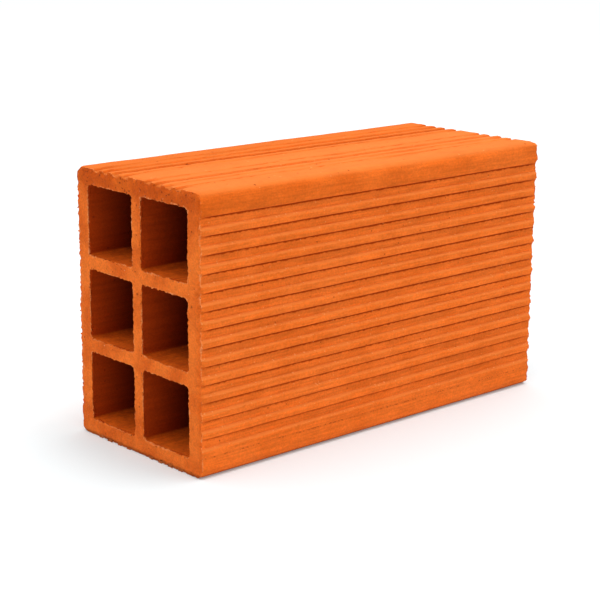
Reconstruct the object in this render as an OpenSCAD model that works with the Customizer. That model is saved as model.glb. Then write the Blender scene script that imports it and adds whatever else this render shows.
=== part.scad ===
// Hollow clay wall brick: one extruded and fired piece of clay.
// It lies along X with its height up +Z. The origin is the centre of its underside.
// Two columns of three cells run right through it from one cut end to the other.
// Thin ribs along the outside give mortar and plaster something to grip.

/* [Brick] */
// Length between the two cut ends
brick_l = 240; // [160:1:400]
// Width across the two long faces, over the ribs
brick_w = 100; // [80:1:140]
// Height from the lower bed face to the upper one, over the ribs
brick_h = 140; // [110:1:240]
// Radius of the four long outer corners
corner_r = 5; // [1:0.5:8]

/* [Cells] */
// Number of cells across the width
cell_cols = 2; // [1:1:3]
// Number of cells up the height
cell_rows = 3; // [1:1:4]
// Thickness of the two outer walls beside the cells, over the ribs
side_wall = 10; // [7:0.5:14]
// Thickness of the two outer walls above and below the cells, over the ribs
bed_wall = 8.5; // [6:0.5:12]
// Thickness of the upright webs between cells
upright_web = 7; // [4:0.5:10]
// Thickness of the level webs between cells
level_web = 7; // [4:0.5:10]
// Radius of the inside corners of a cell
cell_r = 2; // [0.5:0.5:5]

/* [Ribs on the long faces] */
// Width of one rib at its tip
side_rib_w = 3.5; // [3:0.5:8]
// Width of one groove between two ribs, at its mouth
side_groove_w = 5.5; // [3:0.5:8]
// Depth of a groove
side_groove_d = 1.4; // [0.5:0.1:3]
// Plain band above the first groove, and the least that is left below the last one
side_band = 11.5; // [9:0.5:20]

/* [Ribs on the bed faces] */
// Width of the plain band along the middle
bed_middle_w = 14; // [8:1:24]
// Width of one rib at its tip
bed_rib_w = 3.5; // [3:0.5:8]
// Width of one groove between two ribs, at its mouth
bed_groove_w = 4.4; // [3:0.2:8]
// Depth of a groove
bed_groove_d = 1.1; // [0.5:0.1:3]
// Least width of the plain band beside a long corner
bed_band = 12; // [9:0.5:20]

/* [Grooves] */
// Angle between a groove's sloping flank and its floor's normal
flank_angle = 24; // [0:1:25]

/* [Hidden] */
// Sides of a full circle, for the rounded corners
round_fn = 48;
// How far a cutting shape runs past the surface that it cuts
cut_past = 1;

// Cells share what the walls and webs leave
cell_w = (brick_w - 2 * side_wall - (cell_cols - 1) * upright_web) / cell_cols;
cell_h = (brick_h - 2 * bed_wall - (cell_rows - 1) * level_web) / cell_rows;

// Side grooves are counted down from the top band, and the bottom band takes what is left over
side_pitch = side_rib_w + side_groove_w;
side_grooves = floor((brick_h - 2 * side_band + side_rib_w) / side_pitch);
side_first_z = brick_h - side_band - side_groove_w / 2;

// Bed grooves are counted out from the middle band, the same number each way
bed_pitch = bed_rib_w + bed_groove_w;
bed_grooves = floor((brick_w / 2 - bed_middle_w / 2 - bed_band + bed_rib_w) / bed_pitch);
bed_first_y = bed_middle_w / 2 + bed_groove_w / 2;

// Rectangle with round corners, its lower left corner at the origin
module rounded_rect(w, h, r) {
    translate([r, 0]) square([w - 2 * r, h]);
    translate([0, r]) square([w, h - 2 * r]);
    for (x = [r, w - r], y = [r, h - r])
        translate([x, y]) circle(r = r, $fn = round_fn);
}

// Cutter for one groove: its mouth is centred on the origin and it cuts down, towards -Y
module groove(w, d) {
    slope = tan(flank_angle);
    polygon([
        [-w / 2 - slope * cut_past, cut_past],
        [-w / 2 + slope * d, -d],
        [w / 2 - slope * d, -d],
        [w / 2 + slope * cut_past, cut_past]
    ]);
}

// Grooves of both long faces
module side_groove_rows() {
    for (side = [-1, 1], i = [0 : side_grooves - 1])
        translate([side * brick_w / 2, side_first_z - i * side_pitch])
            rotate(-side * 90)
                groove(side_groove_w, side_groove_d);
}

// Grooves of the upper and lower bed faces
module bed_groove_rows() {
    for (side = [-1, 1], i = [0 : bed_grooves - 1]) {
        y = side * (bed_first_y + i * bed_pitch);
        translate([y, brick_h])
            groove(bed_groove_w, bed_groove_d);
        translate([y, 0])
            rotate(180)
                groove(bed_groove_w, bed_groove_d);
    }
}

// Openings of all the cells
module cells() {
    for (col = [0 : cell_cols - 1], row = [0 : cell_rows - 1])
        translate([
            -brick_w / 2 + side_wall + col * (cell_w + upright_web),
            bed_wall + row * (cell_h + level_web)
        ])
            rounded_rect(cell_w, cell_h, cell_r);
}

// Section of the brick as the die shapes it: width along X, height along Y
module section() {
    difference() {
        translate([-brick_w / 2, 0]) rounded_rect(brick_w, brick_h, corner_r);
        side_groove_rows();
        bed_groove_rows();
        cells();
    }
}

// The whole brick: the section drawn out along X and cut square at both ends
module brick() {
    color([0.87, 0.37, 0.13])
        rotate([90, 0, 90])
            linear_extrude(height = brick_l, center = true)
                section();
}

brick();
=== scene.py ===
import bpy
import bmesh
import math
import time
from mathutils import Matrix, Vector, kdtree


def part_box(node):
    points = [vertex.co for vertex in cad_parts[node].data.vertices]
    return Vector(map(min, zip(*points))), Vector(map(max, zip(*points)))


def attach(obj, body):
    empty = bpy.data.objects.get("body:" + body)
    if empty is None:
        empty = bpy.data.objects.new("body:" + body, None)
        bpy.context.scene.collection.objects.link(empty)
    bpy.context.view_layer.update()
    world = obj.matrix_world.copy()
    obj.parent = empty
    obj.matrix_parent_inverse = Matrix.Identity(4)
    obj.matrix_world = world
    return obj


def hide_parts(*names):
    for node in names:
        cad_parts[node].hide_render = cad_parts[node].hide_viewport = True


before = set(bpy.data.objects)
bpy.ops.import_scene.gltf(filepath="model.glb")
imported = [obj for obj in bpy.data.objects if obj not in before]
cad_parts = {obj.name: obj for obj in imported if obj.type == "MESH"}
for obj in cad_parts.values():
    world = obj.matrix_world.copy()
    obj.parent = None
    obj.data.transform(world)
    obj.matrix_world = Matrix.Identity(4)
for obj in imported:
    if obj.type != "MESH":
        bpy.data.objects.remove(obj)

startTime = time.time()
mm = 0.001
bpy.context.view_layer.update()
brickLow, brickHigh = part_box("brick")
length, width, height = brickHigh - brickLow
halfLength, halfWidth = length / 2, width / 2
print("frame loaded, brick", round(length, 4), round(width, 4), round(height, 4))


def makeActive(piece):
    bpy.ops.object.select_all(action="DESELECT")
    piece.select_set(True)
    bpy.context.view_layer.objects.active = piece


def startEdit(piece, mode="FACE"):
    makeActive(piece)
    bpy.ops.object.mode_set(mode="EDIT")
    bpy.ops.mesh.select_mode(type=mode)
    bpy.ops.mesh.reveal(select=False)
    bpy.ops.mesh.select_all(action="DESELECT")


def endEdit():
    bpy.ops.mesh.reveal(select=False)
    bpy.ops.object.mode_set(mode="OBJECT")


def selectEdges(piece, wanted):
    edit = bmesh.from_edit_mesh(piece.data)
    for edge in edit.edges:
        edge.select = wanted(edge)
    bmesh.update_edit_mesh(piece.data)


def selectFaces(piece, wanted):
    edit = bmesh.from_edit_mesh(piece.data)
    for face in edit.faces:
        face.select = wanted(face)
    edit.select_flush_mode()
    bmesh.update_edit_mesh(piece.data)


def applyModifier(piece, kind, **values):
    makeActive(piece)
    modifier = piece.modifiers.new(kind.title(), kind)
    for key, value in values.items():
        setattr(modifier, key, value)
    bpy.ops.object.modifier_apply(modifier=modifier.name)


def addBlock(name, low, high):
    size = [high[i] - low[i] for i in range(3)]
    centre = [(high[i] + low[i]) / 2 for i in range(3)]
    bpy.ops.object.select_all(action="DESELECT")
    bpy.ops.mesh.primitive_cube_add(size=1, location=centre, scale=size)
    block = bpy.context.object
    block.name = name
    bpy.ops.object.transform_apply(location=True, rotation=True, scale=True)
    return block


def repeatAlong(piece, axis, count, step):
    offset = [0, 0, 0]
    offset[axis] = step
    applyModifier(
        piece, "ARRAY", count=count, use_relative_offset=False,
        use_constant_offset=True, constant_offset_displace=offset,
    )


def runsAlong(edge):
    way = edge.verts[0].co - edge.verts[1].co
    return abs(way.x) > 0.9 * way.length


def roundLongEdges(block, radius, steps):
    startEdit(block, "EDGE")
    selectEdges(block, runsAlong)
    bpy.ops.mesh.bevel(offset=radius, segments=steps, affect="EDGES")
    endEdit()


# the bar of clay as it leaves the die
bar = {
    "cornerRadius": 5 * mm,
    "cornerSteps": 7,
    "cutterPast": 6 * mm,
    "ribRound": 0.18 * mm,
    "ribTopRound": 0.75 * mm,
    "rimRound": 0.4 * mm,
}
cell = {
    "columns": 2,
    "rows": 3,
    "sideWall": 10 * mm,
    "bedWall": 8.5 * mm,
    "web": 7 * mm,
    "cornerRadius": 2 * mm,
    "cornerSteps": 4,
}
sideGroove = {"count": 13, "width": 5.5 * mm, "rib": 3.5 * mm, "depth": 1.4 * mm, "topBand": 11.5 * mm}
bedGroove = {"count": 4, "width": 4.4 * mm, "rib": 3.5 * mm, "depth": 1.1 * mm, "middleBand": 14 * mm}
flankSlope = math.tan(math.radians(24))
cellWidth = (width - 2 * cell["sideWall"] - (cell["columns"] - 1) * cell["web"]) / cell["columns"]
cellHeight = (height - 2 * cell["bedWall"] - (cell["rows"] - 1) * cell["web"]) / cell["rows"]
sideStart = height - sideGroove["topBand"]
bedStart = bedGroove["middleBand"] / 2
sideEnd = sideStart - sideGroove["count"] * (sideGroove["width"] + sideGroove["rib"]) + sideGroove["rib"]


def addCellCutter():
    past = bar["cutterPast"]
    low = (-halfLength - past, -halfWidth + cell["sideWall"], cell["bedWall"])
    high = (halfLength + past, low[1] + cellWidth, low[2] + cellHeight)
    cutter = addBlock("cellCutter", low, high)
    roundLongEdges(cutter, cell["cornerRadius"], cell["cornerSteps"])
    repeatAlong(cutter, 1, cell["columns"], cellWidth + cell["web"])
    repeatAlong(cutter, 2, cell["rows"], cellHeight + cell["web"])
    return cutter


def addGrooveCutter(groove, axis, surface, outward, start, way):
    across = 3 - axis
    run = flankSlope * groove["depth"]
    mouth = sorted((start, start + way * groove["width"]))
    low = [-halfLength - bar["cutterPast"], 0, 0]
    high = [halfLength + bar["cutterPast"], 0, 0]
    low[across], high[across] = mouth[0] - run, mouth[1] + run
    low[axis], high[axis] = surface - groove["depth"], surface + groove["depth"]
    cutter = addBlock("grooveCutter", low, high)
    startEdit(cutter)
    selectFaces(cutter, lambda face: face.normal[axis] * outward < -0.9)
    taper = [1, 1, 1]
    taper[across] = (groove["width"] - 2 * run) / (groove["width"] + 2 * run)
    bpy.ops.transform.resize(value=taper)
    endEdit()
    repeatAlong(cutter, across, groove["count"], way * (groove["width"] + groove["rib"]))
    return cutter


def addClayBar():
    block = addBlock("clayBrick", brickLow, brickHigh)
    roundLongEdges(block, bar["cornerRadius"], bar["cornerSteps"])
    cutters = [addCellCutter()]
    for outward in (-1, 1):
        cutters.append(addGrooveCutter(sideGroove, 1, outward * halfWidth, outward, sideStart, -1))
        for way in (-1, 1):
            bed = height if outward > 0 else 0
            cutters.append(addGrooveCutter(bedGroove, 2, bed, outward, way * bedStart, way))
    makeActive(cutters[0])
    for cutter in cutters:
        cutter.select_set(True)
    bpy.ops.object.join()
    applyModifier(block, "BOOLEAN", operation="DIFFERENCE", solver="EXACT", object=cutters[0])
    makeActive(cutters[0])
    bpy.ops.object.delete()
    return block


def insideCells(point):
    margin = 4 * mm
    return abs(point.y) < halfWidth - margin and margin < point.z < height - margin


def isCutFace(face):
    return abs(face.normal.x) > 0.9


def facesEnd(face):
    return abs(face.normal.x) > 0.2


def isCellWall(face):
    return abs(face.normal.x) < 0.2 and insideCells(face.calc_center_median())


def isRibEdge(edge):
    centre = (edge.verts[0].co + edge.verts[1].co) / 2
    return runsAlong(edge) and not insideCells(centre) and edge.calc_face_angle_signed(0) > 0.6


def facesUp(edge):
    onSide = min(edge.verts[0].co.z, height - edge.verts[0].co.z) > bar["cornerRadius"]
    return onSide and sum(face.normal.z for face in edge.link_faces) > 0.3


def isRimEdge(edge):
    ends = [isCutFace(face) for face in edge.link_faces]
    return len(ends) == 2 and ends[0] != ends[1]


def softenEdges(block):
    startEdit(block, "EDGE")
    selectEdges(block, lambda edge: isRibEdge(edge) and facesUp(edge))
    bpy.ops.mesh.bevel(offset=bar["ribTopRound"], segments=2, affect="EDGES")
    selectEdges(block, isRibEdge)
    bpy.ops.mesh.bevel(offset=bar["ribRound"], segments=1, affect="EDGES")
    selectEdges(block, isRimEdge)
    bpy.ops.mesh.bevel(offset=bar["rimRound"], segments=2, affect="EDGES")
    endEdit()


# how finely the bar is cut up before its surface is worn
slices = {
    "ribs": 1.2 * mm,
    "flats": 1.15 * mm,
    "along": 2.5 * mm,
    "ends": 0.76 * mm,
    "fromEnds": [0.85 * mm, 1.4 * mm, 2.2 * mm, 3.3 * mm, 5 * mm],
    "cellWallFromEnds": [2.4 * mm, 7 * mm, 20 * mm],
    "cellWallAlong": 50 * mm,
}


def between(low, high, step):
    count = max(1, round((high - low) / step))
    return [low + (high - low) * i / count for i in range(1, count)]


def grooveStations(groove, start, way):
    run = flankSlope * groove["depth"]
    pitch = groove["width"] + groove["rib"]
    stations = []
    for i in range(groove["count"]):
        mouth = start + way * i * pitch
        floor = sorted((mouth + way * run, mouth + way * (groove["width"] - run)))
        stations += between(floor[0], floor[1], slices["ribs"])
        if i < groove["count"] - 1:
            rib = sorted((mouth + way * groove["width"], mouth + way * pitch))
            stations += between(rib[0], rib[1], slices["ribs"])
    last = start + way * (groove["count"] * pitch - groove["rib"])
    return stations, last


def sectionStations():
    upStations, lowest = grooveStations(sideGroove, sideStart, -1)
    upStations += between(0, lowest, slices["flats"]) + between(sideStart, height, slices["flats"])
    acrossStations = between(-bedStart, bedStart, slices["flats"])
    for way in (-1, 1):
        stations, last = grooveStations(bedGroove, way * bedStart, way)
        edge = way * halfWidth
        acrossStations += stations + between(min(last, edge), max(last, edge), slices["flats"])
    return acrossStations, upStations


def sliceAt(axis, stations):
    normal = [0, 0, 0]
    normal[axis] = 1
    for station in stations:
        point = [0, 0, 0]
        point[axis] = station
        bpy.ops.mesh.select_all(action="SELECT")
        bpy.ops.mesh.bisect(plane_co=point, plane_no=normal, threshold=0.0001)


def hideFaces(piece, unwanted):
    bpy.ops.mesh.reveal(select=False)
    selectFaces(piece, unwanted)
    bpy.ops.mesh.hide(unselected=False)


def sliceBar(block):
    acrossStations, upStations = sectionStations()
    ends = [way * (halfLength - inset) for inset in slices["fromEnds"] for way in (-1, 1)]
    last = halfLength - slices["fromEnds"][-1]
    wallEnds = [way * (halfLength - inset) for inset in slices["cellWallFromEnds"] for way in (-1, 1)]
    wallLast = halfLength - slices["cellWallFromEnds"][-1]
    startEdit(block)
    hideFaces(block, lambda face: not facesEnd(face))
    sliceAt(1, between(-halfWidth, halfWidth, slices["ends"]))
    sliceAt(2, between(0, height, slices["ends"]))
    hideFaces(block, lambda face: facesEnd(face) or isCellWall(face))
    sliceAt(1, acrossStations)
    sliceAt(2, upStations)
    sliceAt(0, ends + between(-last, last, slices["along"]))
    hideFaces(block, lambda face: not isCellWall(face))
    sliceAt(0, wallEnds + between(-wallLast, wallLast, slices["cellWallAlong"]))
    endEdit()
    applyModifier(block, "TRIANGULATE", min_vertices=5)


# shares and reaches of the wear that handling and the cutting wire leave
wear = {
    "bottomShare": 0.3,
    "cellRimReach": 1.9 * mm,
    "outerRimReach": 2.6 * mm,
    "smearReach": 3.2 * mm,
    "sideSmear": 0.85,
    "farEndShare": 0.6,
    "lowerBedSmear": 0.9,
    "lowerBedFill": 0.4,
    "upperFillFades": 14 * mm,
    "upperFillBack": (0.65, 0.0, 0.3, 0.6),
    "upperFillFront": (0.75, 0.25, 0.6, 0.85),
    "cutDepth": 0.2 * mm,
    "rimDepth": 1 * mm,
    "rimZone": 4 * mm,
    "bottomZone": 2.5 * mm,
}
ribTip = {
    "sideReach": 0.9 * mm,
    "sideLowest": sideStart - 118 * mm,
    "bedReach": 0.35 * mm,
    "bedMargin": 12 * mm,
    "bedShare": 0.6,
    "gain": 1.8,
}
wearGroups = ("skin", "dieSkin", "cutFace", "outerRim", "cellRim", "ribTip", "fill", "smear")


def smoothFall(distance, reach):
    share = max(0.0, 1 - distance / reach)
    return share * share * (3 - 2 * share)


def treeOf(points):
    tree = kdtree.KDTree(len(points))
    for i, point in enumerate(points):
        tree.insert(point, i)
    tree.balance()
    return tree


def grooveFloorKind(point):
    fromSide = halfWidth - abs(point.y)
    fromBed = min(point.z, height - point.z)
    if 0.6 < fromSide / sideGroove["depth"] < 1.2 and fromBed > bar["cornerRadius"]:
        return "side"
    if 0.6 < fromBed / bedGroove["depth"] < 1.2 and fromSide > bar["cornerRadius"]:
        return "lowerBed" if point.z < height / 2 else "upperBed"
    return None


def grooveFill(point, kind):
    if kind == "lowerBed":
        return wear["lowerBedFill"]
    if kind == "upperBed":
        shares = wear["upperFillBack" if point.y > 0 else "upperFillFront"]
        pitch = bedGroove["width"] + bedGroove["rib"]
        order = min(len(shares) - 1, int(max(0, abs(point.y) - bedStart) / pitch))
        return shares[order] * (1 - smoothFall(halfLength - abs(point.x), wear["upperFillFades"]))
    return 0.0


def endSmear(point, kind):
    share = {"side": wear["sideSmear"], "lowerBed": wear["lowerBedSmear"]}.get(kind, 0.0)
    if point.x > 0:
        share *= wear["farEndShare"]
    return share * smoothFall(halfLength - abs(point.x), wear["smearReach"])


def ribTipShare(point, normal):
    fromSide = halfWidth - abs(point.y)
    fromBed = min(point.z, height - point.z)
    if fromSide < ribTip["sideReach"] and ribTip["sideLowest"] < point.z < sideStart:
        turn = max(0.0, normal.z)
    elif fromBed < ribTip["bedReach"] and abs(point.y) < halfWidth - ribTip["bedMargin"]:
        turn = ribTip["bedShare"] * abs(normal.y)
    else:
        return 0.0
    return min(1.0, turn * ribTip["gain"])


def markWear(piece):
    vertices = piece.data.vertices
    rims = {"outer": [], "cell": []}
    for vertex in vertices:
        if halfLength - abs(vertex.co.x) < wear["rimDepth"] and 0.3 < abs(vertex.normal.x) < 0.95:
            rims["cell" if insideCells(vertex.co) else "outer"].append(vertex.co.copy())
    trees = {name: treeOf(points) for name, points in rims.items()}
    groups = {name: piece.vertex_groups.new(name=name) for name in wearGroups}
    rimMask = []
    for vertex in vertices:
        point, i = vertex.co, vertex.index
        fromEnd = halfLength - abs(point.x)
        atCut = fromEnd < wear["cutDepth"]
        inCell = insideCells(point) and fromEnd > wear["cutDepth"]
        outerRim = cellRim = tip = 0.0
        if fromEnd < wear["rimZone"]:
            outerRim = smoothFall(trees["outer"].find(point)[2], wear["outerRimReach"])
            cellRim = smoothFall(trees["cell"].find(point)[2], wear["cellRimReach"])
            if inCell:
                outerRim = 0.0
        share = wear["bottomShare"] if point.z < wear["bottomZone"] else 1.0
        if not inCell:
            groups["skin"].add([i], share, "REPLACE")
            tip = ribTipShare(point, vertex.normal)
            if not atCut:
                groups["dieSkin"].add([i], share, "REPLACE")
                kind = grooveFloorKind(point)
                groups["fill"].add([i], grooveFill(point, kind), "REPLACE")
                groups["smear"].add([i], endSmear(point, kind), "REPLACE")
        if atCut:
            groups["cutFace"].add([i], 1 - cellRim, "REPLACE")
        groups["outerRim"].add([i], outerRim * share, "REPLACE")
        groups["cellRim"].add([i], cellRim, "REPLACE")
        groups["ribTip"].add([i], tip * share, "REPLACE")
        rimMask.append(max(outerRim, cellRim))
    layer = piece.data.attributes.new("rimWear", "FLOAT", "POINT")
    layer.data.foreach_set("value", rimMask)


# passes of wear in their order: each pushes a group of points by clouds of one size
wearPasses = (
    {"name": "smudge", "group": "fill", "size": 5 * mm, "strength": 1.9 * mm, "rest": 0.0,
     "stretch": (9, 1, 1)},
    {"name": "smear", "group": "smear", "strength": 1.3 * mm, "rest": 0.0},
    {"name": "sag", "group": "skin", "size": 38 * mm, "strength": 0.4 * mm},
    {"name": "drag", "group": "dieSkin", "size": 2.4 * mm, "strength": 0.14 * mm, "stretch": (14, 1, 1)},
    {"name": "grit", "group": "dieSkin", "size": 2.2 * mm, "strength": 0.13 * mm},
    {"name": "nibble", "group": "ribTip", "size": 2.6 * mm, "contrast": 1.8, "strength": -0.8 * mm,
     "rest": 0.33},
    {"name": "torn", "group": "cutFace", "size": 1.7 * mm, "contrast": 1.6, "detail": 3,
     "strength": 0.4 * mm, "rest": 0.6},
    {"name": "chip", "group": "outerRim", "size": 3.2 * mm, "contrast": 2.0, "strength": -1.5 * mm,
     "rest": 0.0},
    {"name": "softened", "group": "outerRim", "smoothing": 3},
    {"name": "scallopAcross", "group": "cellRim", "size": 1.5 * mm, "contrast": 1.7,
     "strength": 1.3 * mm, "way": "Y"},
    {"name": "scallopUp", "group": "cellRim", "size": 1.6 * mm, "contrast": 1.7,
     "strength": 1.3 * mm, "way": "Z"},
)


def addClouds(step):
    texture = bpy.data.textures.new(step["name"], "CLOUDS")
    texture.noise_scale = step["size"]
    texture.contrast = step.get("contrast", 1.0)
    texture.noise_depth = step.get("detail", 2)
    return texture


def addGuide(stretch):
    bpy.ops.object.select_all(action="DESELECT")
    bpy.ops.object.empty_add(location=(0, 0, 0))
    guide = bpy.context.object
    guide.scale = stretch
    bpy.context.view_layer.update()
    return guide


def pushSurface(piece, step):
    values = {
        "texture": addClouds(step) if "size" in step else None,
        "vertex_group": step["group"],
        "strength": step["strength"],
        "mid_level": step.get("rest", 0.5),
        "direction": step.get("way", "NORMAL"),
        "texture_coords": "LOCAL",
    }
    guide = addGuide(step["stretch"]) if "stretch" in step else None
    if guide:
        values["texture_coords"] = "OBJECT"
        values["texture_coords_object"] = guide
    applyModifier(piece, "DISPLACE", **values)
    if guide:
        bpy.data.objects.remove(guide)


def wearSurface(piece):
    for step in wearPasses:
        if "smoothing" in step:
            applyModifier(
                piece, "SMOOTH", factor=0.5, iterations=step["smoothing"], vertex_group=step["group"],
            )
        else:
            pushSurface(piece, step)


finishes = ("dieSkin", "cutFace", "cellWall")


def sortFaces(piece):
    for name in finishes:
        piece.data.materials.append(bpy.data.materials.new(name))
    for slot, belongs in ((1, isCutFace), (2, isCellWall)):
        startEdit(piece)
        selectFaces(piece, belongs)
        piece.active_material_index = slot
        bpy.ops.object.material_slot_assign()
        endEdit()


brick = addClayBar()
softenEdges(brick)
sliceBar(brick)
sortFaces(brick)
print("bar cut and sliced", round(time.time() - startTime, 1), "s")
markWear(brick)
print("wear marked", round(time.time() - startTime, 1), "s")
wearSurface(brick)
brick.vertex_groups.clear()
makeActive(brick)
bpy.ops.object.shade_smooth_by_angle(angle=math.radians(32))
print("surface worn", round(time.time() - startTime, 1), "s")


# helpers that put one node into a tree and hand back its output
def feed(tree, socket, value):
    if isinstance(value, bpy.types.NodeSocket):
        tree.links.new(value, socket)
    elif value is not None:
        socket.default_value = value


def addNode(tree, kind, **inputs):
    node = tree.nodes.new(kind)
    for name, value in inputs.items():
        feed(tree, node.inputs[name.replace("_", " ")], value)
    return node


def addMath(tree, operation, first, second=None, third=None):
    node = tree.nodes.new("ShaderNodeMath")
    node.operation = operation
    for socket, value in zip(node.inputs, (first, second, third)):
        feed(tree, socket, value)
    return node.outputs[0]


def addRange(tree, value, low, high, newLow=0.0, newHigh=1.0):
    node = tree.nodes.new("ShaderNodeMapRange")
    node.interpolation_type = "SMOOTHSTEP"
    for socket, amount in zip(node.inputs, (value, low, high, newLow, newHigh)):
        feed(tree, socket, amount)
    return node.outputs[0]


def addMix(tree, share, first, second, blend="MIX"):
    node = tree.nodes.new("ShaderNodeMix")
    node.data_type = "RGBA"
    node.blend_type = blend
    feed(tree, node.inputs[0], share)
    feed(tree, node.inputs[6], first)
    feed(tree, node.inputs[7], second)
    return node.outputs[2]


def addNoise(tree, vector, scale, detail=2.0, roughness=0.5):
    node = addNode(
        tree, "ShaderNodeTexNoise", Vector=vector, Scale=scale, Detail=detail, Roughness=roughness,
    )
    return node.outputs["Fac"]


def addStretch(tree, vector, scale):
    return addNode(tree, "ShaderNodeMapping", Vector=vector, Scale=scale).outputs[0]


def splitPlace(tree, vector):
    return addNode(tree, "ShaderNodeSeparateXYZ", Vector=vector).outputs


def addShade(tree, shade, value, low, high, darkest, lightest):
    return addMath(tree, "MULTIPLY", shade, addRange(tree, value, low, high, darkest, lightest))


def startGroup(name, inputs, outputs):
    group = bpy.data.node_groups.new(name, "ShaderNodeTree")
    for label, kind in inputs:
        group.interface.new_socket(name=label, in_out="INPUT", socket_type="NodeSocket" + kind)
    for label, kind in outputs:
        group.interface.new_socket(name=label, in_out="OUTPUT", socket_type="NodeSocket" + kind)
    given = group.nodes.new("NodeGroupInput").outputs
    result = group.nodes.new("NodeGroupOutput").inputs
    return group, given, result


def placeGroup(tree, group, **inputs):
    node = tree.nodes.new("ShaderNodeGroup")
    node.node_tree = group
    for name, value in inputs.items():
        feed(tree, node.inputs[name], value)
    return node.outputs


# fine sandy grain and soft blotches, in cycles per metre
def makeGrain():
    group, given, result = startGroup(
        "clayGrain", [("Vector", "Vector")], [("Fine", "Float"), ("Blotch", "Float"), ("Mottle", "Float")],
    )
    feed(group, result["Fine"], addNoise(group, given["Vector"], 950, 3, 0.65))
    feed(group, result["Blotch"], addNoise(group, given["Vector"], 42, 3, 0.55))
    feed(group, result["Mottle"], addNoise(group, given["Vector"], 260, 3, 0.6))
    return group


# scattered spots: Size is their radius in cells, Share how many cells hold one
def makeSpots():
    group, given, result = startGroup(
        "claySpots",
        [("Vector", "Vector"), ("Scale", "Float"), ("Size", "Float"), ("Share", "Float")],
        [("Mask", "Float")],
    )
    ragged = addNode(group, "ShaderNodeTexNoise", Vector=given["Vector"], Scale=1400, Detail=1)
    shift = addNode(group, "ShaderNodeVectorMath", Vector=ragged.outputs["Color"])
    shift.operation = "SCALE"
    feed(group, shift.inputs["Scale"], 0.9 * mm)
    place = group.nodes.new("ShaderNodeVectorMath")
    feed(group, place.inputs[0], given["Vector"])
    feed(group, place.inputs[1], shift.outputs[0])
    spots = addNode(group, "ShaderNodeTexVoronoi", Vector=place.outputs[0], Scale=given["Scale"])
    chance = addNode(group, "ShaderNodeSeparateColor", Color=spots.outputs["Color"])
    radius = addMath(group, "MULTIPLY_ADD", chance.outputs[1], given["Size"], 0.02)
    inner = addMath(group, "MULTIPLY", radius, 0.6)
    inside = addRange(group, spots.outputs["Distance"], inner, radius, 1, 0)
    present = addMath(group, "LESS_THAN", chance.outputs[0], given["Share"])
    feed(group, result["Mask"], addMath(group, "MULTIPLY", inside, present))
    return group


# wear that bares paler clay in ragged patches; on the rib tops it also paints a highlight
def makeWornEdgeAndHighlightGroup():
    group, given, result = startGroup(
        "wornEdgeAndHighlight",
        [("Vector", "Vector"), ("Wear", "Float"), ("Onset", "Float"), ("Colour", "Color"),
         ("Bared", "Color")],
        [("Colour", "Color"), ("Mask", "Float")],
    )
    ragged = addNoise(group, given["Vector"], 700, 3, 0.75)
    patches = addNoise(group, given["Vector"], 110, 2)
    ragged = addMath(group, "MULTIPLY_ADD", patches, 0.8, ragged)
    reach = addMath(group, "MULTIPLY_ADD", given["Wear"], 0.5, ragged)
    full = addMath(group, "ADD", given["Onset"], 0.35)
    mask = addRange(group, reach, given["Onset"], full)
    mask = addMath(group, "MULTIPLY", mask, addRange(group, given["Wear"], 0.05, 0.5))
    feed(group, result["Mask"], mask)
    feed(group, result["Colour"], addMix(group, mask, given["Colour"], given["Bared"]))
    return group


# paler colour where the surface faces up: settled dust, and painted sheen and light on the up-facing faces
def makeUpFacingDustAndLight():
    group, given, result = startGroup(
        "upFacingDustAndLight", [("Normal", "Vector"), ("Patches", "Float"), ("Amount", "Float")],
        [("Mask", "Float")],
    )
    upward = splitPlace(group, given["Normal"])["Z"]
    rising = addRange(group, upward, 0.35, 0.95)
    patchy = addMath(group, "MULTIPLY", rising, addRange(group, given["Patches"], 0.2, 0.7, 0.45, 1))
    feed(group, result["Mask"], addMath(group, "MULTIPLY", patchy, given["Amount"]))
    return group


# painted contact shadow where the brick stands on the ground
def makePaintedContactShadow():
    group, given, result = startGroup(
        "paintedContactShadow", [("Vector", "Vector"), ("Colour", "Color")], [("Colour", "Color")],
    )
    rise = splitPlace(group, given["Vector"])["Z"]
    rise = addMath(group, "MULTIPLY_ADD", addNoise(group, given["Vector"], 300, 2), -1.2 * mm, rise)
    mask = addRange(group, rise, 0.2 * mm, 2.2 * mm, 0.85, 0)
    feed(group, result["Colour"], addMix(group, mask, given["Colour"], contactShadowColour, "MULTIPLY"))
    return group


def startMaterial(name):
    material = bpy.data.materials.get(name) or bpy.data.materials.new(name)
    material.use_nodes = True
    material.node_tree.nodes.clear()
    return material, material.node_tree


def finishMaterial(tree, look, colour, roughness, heightMap):
    bump = addNode(tree, "ShaderNodeBump", Height=heightMap, Strength=look["bumpStrength"])
    bump.inputs["Distance"].default_value = look["bumpDepth"]
    shader = addNode(tree, "ShaderNodeBsdfPrincipled", Base_Color=colour, Roughness=roughness)
    feed(tree, shader.inputs["Normal"], bump.outputs[0])
    shader.inputs["Specular IOR Level"].default_value = look["shine"]
    output = tree.nodes.new("ShaderNodeOutputMaterial")
    feed(tree, output.inputs["Surface"], shader.outputs["BSDF"])


def readWear(tree, name):
    node = tree.nodes.new("ShaderNodeAttribute")
    node.attribute_name = name
    return node.outputs["Fac"]


def addSpots(tree, coords, spots, share=None):
    given = spots["share"] if share is None else share
    return placeGroup(
        tree, claySpots, Vector=coords, Scale=spots["scale"], Size=spots["size"], Share=given,
    )["Mask"]


def paintOver(tree, mask, strength, colour, paint):
    return addMix(tree, addMath(tree, "MULTIPLY", mask, strength), colour, paint)


# colour of the painted contact shadow at the foot
contactShadowColour = (0.4, 0.36, 0.34, 1)
bareClay = (0.93, 0.30, 0.095, 1)
clayGrain = makeGrain()
claySpots = makeSpots()
wornEdgeAndHighlight = makeWornEdgeAndHighlightGroup()
upFacingDustAndLight = makeUpFacingDustAndLight()
paintedContactShadow = makePaintedContactShadow()

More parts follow.
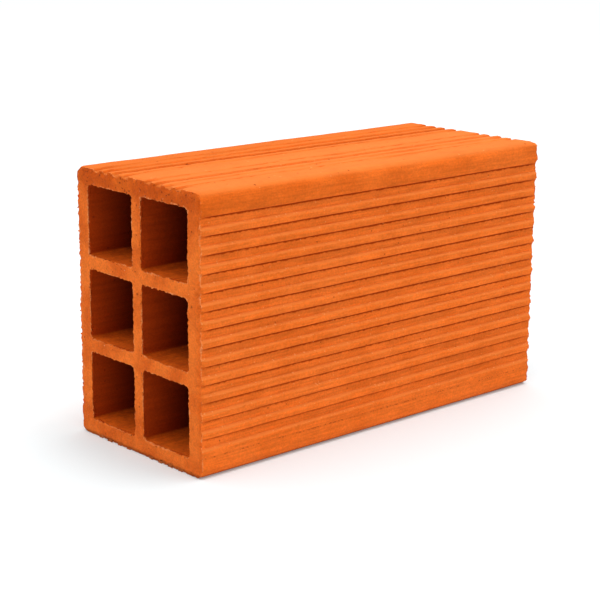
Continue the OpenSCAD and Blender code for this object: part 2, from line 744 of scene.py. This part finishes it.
# skin pressed smooth by the die, with its ribs
dieSkin = {
    "deep": (0.83, 0.155, 0.016, 1),
    "warm": (0.885, 0.177, 0.022, 1),
    # paler colour for faces turned up: dust, and a painted sheen
    "powderedAndLit": (0.77, 0.212, 0.045, 1),
    # paler clay on the ribs' upper edges: wear, and a painted highlight
    "ribEdgeWornAndLit": (0.87, 0.205, 0.035, 1),
    "pale": (0.97, 0.38, 0.12, 1),
    "pit": (0.3, 0.035, 0.004, 1),
    # painted shadow under each side rib: its colour, width, and how it fades by the ends and lower down
    "paintedRibShadow": (0.40, 0.045, 0.0005, 1),
    "ribShadowWidth": 1.2 * mm,
    "ribShadowByEnd": 0.35,
    "ribShadowLow": 0.62,
    "scratchHeight": 9.8 * mm,
    # painted shade for the back of the upper bed and the upper bands by the end
    "paintedShade": (0.87, 0.78, 0.55, 1),
    # painted shade colour and strength for the bed grooves
    "grooveShade": (0.55, 0.5, 0.42, 1),
    "bedGrooveShade": 0.4,
    "flecks": {"scale": 620, "size": 0.4, "share": 0.6},
    "paleSpots": {"scale": 300, "size": 0.2, "share": 0.35},
    "pitSpots": {"scale": 260, "size": 0.2, "share": 0.3},
    "dustAndLight": 0.7,
    "wearAndHighlightByEnds": 1.4,
    "bumpStrength": 0.6,
    "bumpDepth": 0.35 * mm,
    "shine": 0.07,
}


# masks of a painted shadow line under each side rib and of the rib's rounded upper edge, where paler worn
# clay also stands for a painted highlight
def addRibMasks(tree, coords):
    look = dieSkin
    place = splitPlace(tree, coords)
    wavy = addNoise(tree, addStretch(tree, coords, (0.15, 1, 1)), 420, 3)
    pitch = sideGroove["width"] + sideGroove["rib"]
    below = addMath(tree, "SUBTRACT", sideStart - 0.1 * mm, place["Z"])
    below = addMath(tree, "MULTIPLY_ADD", wavy, 0.4 * mm, below)
    down = addMath(tree, "MULTIPLY", addMath(tree, "FRACT", addMath(tree, "DIVIDE", below, pitch)), pitch)
    uneven = addMath(tree, "MULTIPLY_ADD", addNoise(tree, coords, 500, 2), 1.4 * mm, -0.7 * mm)
    lower = addMath(tree, "ADD", down, uneven)
    line = addRange(tree, lower, look["ribShadowWidth"] - 0.2 * mm, look["ribShadowWidth"] + 0.6 * mm, 1, 0)
    inward = addMath(tree, "SUBTRACT", halfWidth, addMath(tree, "ABSOLUTE", place["Y"]))
    line = addShade(tree, line, inward, 0.25 * mm, 0.6 * mm, 0, 1)
    fromMiddle = addMath(tree, "ABSOLUTE", place["X"])
    line = addShade(tree, line, fromMiddle, halfLength - 8 * mm, halfLength - 1 * mm, 1, look["ribShadowByEnd"])
    line = addShade(tree, line, place["Z"], sideEnd, 60 * mm, look["ribShadowLow"], 1)
    edge = sideGroove["width"]
    upper = addRange(tree, down, edge - 0.9 * mm, edge - 0.1 * mm)
    upper = addShade(tree, upper, down, edge + 0.4 * mm, edge + 1.9 * mm, 1, 0)
    grooved = addMath(tree, "LESS_THAN", place["Z"], sideStart + 0.6 * mm)
    aboveBand = addMath(tree, "GREATER_THAN", place["Z"], sideEnd - 2 * mm)
    grooved = addMath(tree, "MULTIPLY", grooved, aboveBand)
    # the rib-top wear and painted highlight grow stronger towards the ends
    wearAndHighlightByEnds = addRange(tree, fromMiddle, halfLength - 45 * mm, halfLength - 5 * mm, 1, look["wearAndHighlightByEnds"])
    upper = addMath(tree, "MULTIPLY", addMath(tree, "MULTIPLY", upper, grooved), wearAndHighlightByEnds)
    return addMath(tree, "MULTIPLY", line, grooved), upper


# painted shade in the open grooves of the two bed faces
def addBedGrooveShade(tree, coords):
    place = splitPlace(tree, coords)
    fromMiddle = addMath(tree, "ABSOLUTE", addMath(tree, "SUBTRACT", place["Z"], height / 2))
    sunk = addMath(tree, "SUBTRACT", height / 2, fromMiddle)
    groove = addRange(tree, sunk, 0.4 * mm, 1.1 * mm)
    across = addMath(tree, "ABSOLUTE", place["Y"])
    groove = addShade(tree, groove, across, halfWidth - 10 * mm, halfWidth - 8 * mm, 1, 0)
    return addMath(tree, "MULTIPLY", groove, dieSkin["bedGrooveShade"])


# how far painted shade darkens the clay: at the back of the upper bed, and on the upper bands by the end
def addPaintedShadeShare(tree, coords):
    place = splitPlace(tree, coords)
    back = addRange(tree, place["Z"], height - 4 * mm, height - 1.5 * mm)
    back = addShade(tree, back, place["Y"], -2 * mm, 26 * mm, 0, 0.85)
    band = addRange(tree, place["Z"], sideStart - 0.5 * mm, sideStart + 0.5 * mm)
    band = addShade(tree, band, place["Z"], height - 2.5 * mm, height, 1, 0)
    band = addShade(tree, band, place["X"], -halfLength, halfLength * 0.4, 1, 0.45)
    return addMath(tree, "MAXIMUM", back, band)


# a dotted scratch that a chip in the die draws along the bottom band
def addScratch(tree, coords, grain):
    wander = addNoise(tree, addStretch(tree, coords, (1, 0, 0)), 30, 2)
    line = addMath(tree, "MULTIPLY_ADD", wander, 1.6 * mm, dieSkin["scratchHeight"])
    off = addMath(tree, "ABSOLUTE", addMath(tree, "SUBTRACT", splitPlace(tree, coords)["Z"], line))
    band = addRange(tree, off, 0.25 * mm, 0.6 * mm, 1, 0)
    return addMath(tree, "MULTIPLY", band, addRange(tree, grain, 0.5, 0.6))


def makeDieSkin():
    look = dieSkin
    material, tree = startMaterial("dieSkin")
    coords = tree.nodes.new("ShaderNodeTexCoord").outputs["Object"]
    grain = placeGroup(tree, clayGrain, Vector=coords)
    streaks = addNoise(tree, addStretch(tree, coords, (0.05, 1, 1)), 900, 3, 0.6)
    bands = addNoise(tree, addStretch(tree, coords, (0.03, 1, 1)), 170, 2)
    drift = addNoise(tree, addStretch(tree, coords, (0.22, 1, 1)), 240, 3, 0.6)
    colour = addMix(tree, addRange(tree, grain["Blotch"], 0.35, 0.65), look["deep"], look["warm"])
    shade = addRange(tree, streaks, 0.3, 0.7, 0.92, 1.11)
    shade = addShade(tree, shade, grain["Fine"], 0.3, 0.7, 0.9, 1.08)
    shade = addShade(tree, shade, drift, 0.3, 0.7, 0.93, 1.06)
    shade = addShade(tree, shade, bands, 0.35, 0.65, 0.95, 1.04)
    # painted light: lighter towards the bottom, as from the floor's bounce
    shade = addShade(tree, shade, splitPlace(tree, coords)["Z"], 5 * mm, 40 * mm, 1.06, 1)
    colour = addMix(tree, 1.0, colour, shade, "MULTIPLY")
    facing = tree.nodes.new("ShaderNodeTexCoord").outputs["Normal"]
    # dust and painted sheen on the faces that turn up
    dustAndLight = placeGroup(tree, upFacingDustAndLight, Normal=facing, Patches=grain["Mottle"], Amount=look["dustAndLight"])
    colour = addMix(tree, dustAndLight["Mask"], colour, look["powderedAndLit"])
    # painted shade at the back of the upper bed and on the upper bands by the end
    colour = addMix(tree, addPaintedShadeShare(tree, coords), colour, look["paintedShade"], "MULTIPLY")
    paintedRibShadow, ribTopWearAndHighlight = addRibMasks(tree, coords)
    # paler worn clay and a painted highlight along each side rib's upper edge
    ribs = placeGroup(
        tree, wornEdgeAndHighlight, Vector=coords, Wear=ribTopWearAndHighlight, Onset=1.15, Colour=colour, Bared=look["ribEdgeWornAndLit"],
    )
    rims = placeGroup(
        tree, wornEdgeAndHighlight, Vector=coords, Wear=readWear(tree, "rimWear"), Onset=1.2,
        Colour=ribs["Colour"], Bared=bareClay,
    )
    # painted shadow line under each side rib
    colour = addMix(tree, paintedRibShadow, rims["Colour"], look["paintedRibShadow"])
    # painted shade in the bed grooves
    colour = addMix(tree, addBedGrooveShade(tree, coords), colour, look["grooveShade"], "MULTIPLY")
    # painted contact shadow along the bottom
    colour = placeGroup(tree, paintedContactShadow, Vector=coords, Colour=colour)["Colour"]
    flecked = addMath(tree, "MULTIPLY", ribTopWearAndHighlight, look["flecks"]["share"])
    flecks = addSpots(tree, coords, look["flecks"], flecked)
    pale = addMath(tree, "MAXIMUM", addSpots(tree, coords, look["paleSpots"]), flecks)
    pits = addSpots(tree, coords, look["pitSpots"])
    scratch = addScratch(tree, coords, grain["Fine"])
    colour = paintOver(tree, pale, 0.5, colour, look["pale"])
    colour = paintOver(tree, pits, 0.7, colour, look["pit"])
    colour = paintOver(tree, scratch, 0.6, colour, look["pit"])
    heightMap = addMath(tree, "MULTIPLY_ADD", streaks, 0.5, grain["Fine"])
    heightMap = addMath(tree, "SUBTRACT", heightMap, addMath(tree, "ADD", pits, scratch))
    roughness = addRange(tree, grain["Mottle"], 0.3, 0.7, 0.78, 0.94)
    finishMaterial(tree, look, colour, roughness, heightMap)


# ends torn open by the cutting wire
cutFace = {
    "deep": (0.79, 0.130, 0.011, 1),
    "warm": (0.90, 0.185, 0.022, 1),
    # painted shade for the top wall of the end
    "paintedShade": (0.83, 0.72, 0.46, 1),
    "pale": (0.97, 0.50, 0.26, 1),
    "pit": (0.34, 0.045, 0.003, 1),
    "paleSpots": {"scale": 380, "size": 0.22, "share": 0.45},
    "pitSpots": {"scale": 540, "size": 0.34},
    "bumpStrength": 0.9,
    "bumpDepth": 0.6 * mm,
    "shine": 0.12,
}


def makeCutFace():
    look = cutFace
    material, tree = startMaterial("cutFace")
    coords = tree.nodes.new("ShaderNodeTexCoord").outputs["Object"]
    up = splitPlace(tree, coords)["Z"]
    grain = placeGroup(tree, clayGrain, Vector=coords)
    colour = addMix(tree, addRange(tree, grain["Blotch"], 0.35, 0.65), look["deep"], look["warm"])
    shade = addRange(tree, grain["Fine"], 0.3, 0.7, 0.87, 1.1)
    shade = addShade(tree, shade, grain["Mottle"], 0.3, 0.7, 0.92, 1.06)
    shade = addShade(tree, shade, grain["Blotch"], 0.35, 0.6, 0.93, 1.02)
    colour = addMix(tree, 1.0, colour, shade, "MULTIPLY")
    # painted shade on the top wall of the end
    topWallShade = addRange(tree, up, height - 12 * mm, height - 6 * mm)
    colour = addMix(tree, topWallShade, colour, look["paintedShade"], "MULTIPLY")
    rimShare = readWear(tree, "rimWear")
    rims = placeGroup(
        tree, wornEdgeAndHighlight, Vector=coords, Wear=rimShare, Onset=1.33, Colour=colour, Bared=bareClay,
    )
    pale = addSpots(tree, coords, look["paleSpots"])
    nearTop = addRange(tree, up, height - 14 * mm, height - 7 * mm, 0.3, 0.95)
    pitted = addMath(tree, "MAXIMUM", nearTop, addMath(tree, "MULTIPLY", rimShare, 0.75))
    pits = addSpots(tree, coords, look["pitSpots"], pitted)
    colour = paintOver(tree, pale, 0.5, rims["Colour"], look["pale"])
    colour = paintOver(tree, pits, 0.8, colour, look["pit"])
    # painted contact shadow along the bottom
    colour = placeGroup(tree, paintedContactShadow, Vector=coords, Colour=colour)["Colour"]
    heightMap = addMath(tree, "MULTIPLY_ADD", grain["Mottle"], 1.2, grain["Fine"])
    heightMap = addMath(tree, "SUBTRACT", heightMap, addMath(tree, "MULTIPLY", pits, 1.4))
    roughness = addRange(tree, grain["Fine"], 0.3, 0.7, 0.85, 0.98)
    finishMaterial(tree, look, colour, roughness, heightMap)


# inner walls: painted shade, darker and redder deeper into the cells
cellWall = {
    # painted shade: colour at the cells' mouth and deep inside
    "mouth": (0.43, 0.045, 0.002, 1),
    "deep": (0.07, 0.003, 0.0003, 1),
    # colour of the cell floors: painted light near the mouth, with dust
    "floor": (0.82, 0.14, 0.008, 1),
    "fadeStart": 1 * mm,
    "fadeEnd": 42 * mm,
    "pit": (0.15, 0.012, 0.002, 1),
    "pitSpots": {"scale": 240, "size": 0.2, "share": 0.3},
    "dustAndLight": 0.86,
    "bumpStrength": 0.5,
    "bumpDepth": 0.4 * mm,
    "shine": 0.08,
}


def makeCellWall():
    look = cellWall
    material, tree = startMaterial("cellWall")
    coords = tree.nodes.new("ShaderNodeTexCoord").outputs["Object"]
    grain = placeGroup(tree, clayGrain, Vector=coords)
    fromMiddle = addMath(tree, "ABSOLUTE", splitPlace(tree, coords)["X"])
    depth = addMath(tree, "SUBTRACT", halfLength, fromMiddle)
    # painted shade, darker deeper into the cells
    inside = addRange(tree, depth, look["fadeStart"], look["fadeEnd"])
    colour = addMix(tree, inside, look["mouth"], look["deep"])
    streaks = addNoise(tree, addStretch(tree, coords, (0.04, 1, 1)), 500, 3, 0.6)
    facing = tree.nodes.new("ShaderNodeTexCoord").outputs["Normal"]
    dustAndLight = placeGroup(tree, upFacingDustAndLight, Normal=facing, Patches=grain["Mottle"], Amount=look["dustAndLight"])
    # painted light and dust on the cell floors, fading deeper in
    powderedAndLit = addShade(tree, dustAndLight["Mask"], depth, 10 * mm, 100 * mm, 1, 0.15)
    colour = addMix(tree, powderedAndLit, colour, look["floor"])
    shade = addRange(tree, streaks, 0.3, 0.7, 0.9, 1.08)
    shade = addShade(tree, shade, grain["Fine"], 0.3, 0.7, 0.88, 1.1)
    colour = addMix(tree, 1.0, colour, shade, "MULTIPLY")
    rims = placeGroup(
        tree, wornEdgeAndHighlight, Vector=coords, Wear=readWear(tree, "rimWear"), Onset=1.33,
        Colour=colour, Bared=bareClay,
    )
    pits = addSpots(tree, coords, look["pitSpots"])
    colour = paintOver(tree, pits, 0.6, rims["Colour"], look["pit"])
    heightMap = addMath(tree, "MULTIPLY_ADD", streaks, 1.5, grain["Fine"])
    roughness = addRange(tree, grain["Mottle"], 0.3, 0.7, 0.85, 0.97)
    finishMaterial(tree, look, colour, roughness, heightMap)


makeDieSkin()
makeCutFace()
makeCellWall()
print("clay finished", round(time.time() - startTime, 1), "s")
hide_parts("brick")
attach(brick, "root")


# pale floor and soft light
studio = {
    "floorSize": 14,
    "floorColour": (0.67, 0.715, 0.725, 1),
    "floorGlow": 0.18,
    "skyLow": 0.31,
    "skyTop": 1.76,
    "keyPower": 13,
    "keySize": 0.8,
    "keyPlace": (0.3, -0.35, 2.3),
}


def addFloor():
    bpy.ops.object.select_all(action="DESELECT")
    bpy.ops.mesh.primitive_plane_add(size=studio["floorSize"], location=(0, 0, 0))
    floor = bpy.context.object
    floor.name = "studioFloor"
    material, tree = startMaterial("paleFloor")
    shader = addNode(tree, "ShaderNodeBsdfPrincipled", Base_Color=studio["floorColour"], Roughness=0.95)
    shader.inputs["Specular IOR Level"].default_value = 0.0
    shader.inputs["Emission Color"].default_value = (1, 1, 1, 1)
    shader.inputs["Emission Strength"].default_value = studio["floorGlow"]
    output = tree.nodes.new("ShaderNodeOutputMaterial")
    feed(tree, output.inputs["Surface"], shader.outputs["BSDF"])
    floor.data.materials.append(material)


def aimAt(source, target):
    way = Vector(target) - source.location
    source.rotation_euler = way.to_track_quat("-Z", "Y").to_euler()


def addSky():
    world = bpy.data.worlds.new("studioWorld")
    bpy.context.scene.world = world
    world.use_nodes = True
    tree = world.node_tree
    way = tree.nodes.new("ShaderNodeTexCoord").outputs["Generated"]
    rise = splitPlace(tree, way)["Z"]
    square = addMath(tree, "MULTIPLY", rise, rise)
    strength = addMath(tree, "MULTIPLY_ADD", square, studio["skyTop"], studio["skyLow"])
    feed(tree, tree.nodes["Background"].inputs["Strength"], strength)
    tree.nodes["Background"].inputs["Color"].default_value = (1, 1, 1, 1)


def addKeyLight():
    bpy.ops.object.light_add(type="AREA", location=studio["keyPlace"])
    light = bpy.context.object
    light.name = "keyLight"
    light.data.size = studio["keySize"]
    light.data.energy = studio["keyPower"]
    aimAt(light, (0, 0, height / 2))


camera = {
    "place": (-0.5802, -0.6260, 0.2793),
    "turn": math.radians(-42.21),
    "tilt": math.radians(90 - 14.43),
    "roll": math.radians(0.48),
    "lens": 98.0,
}


def addCamera():
    bpy.ops.object.camera_add()
    eye = bpy.context.object
    eye.name = "mainCamera"
    turn = Matrix.Rotation(camera["turn"], 4, "Z")
    tilt = Matrix.Rotation(camera["tilt"], 4, "X")
    roll = Matrix.Rotation(camera["roll"], 4, "Z")
    eye.matrix_world = Matrix.Translation(camera["place"]) @ turn @ tilt @ roll
    eye.data.lens = camera["lens"]
    eye.data.sensor_width = 36
    bpy.context.scene.camera = eye


addFloor()
addSky()
addKeyLight()
addCamera()
bpy.context.scene.view_settings.view_transform = "Standard"
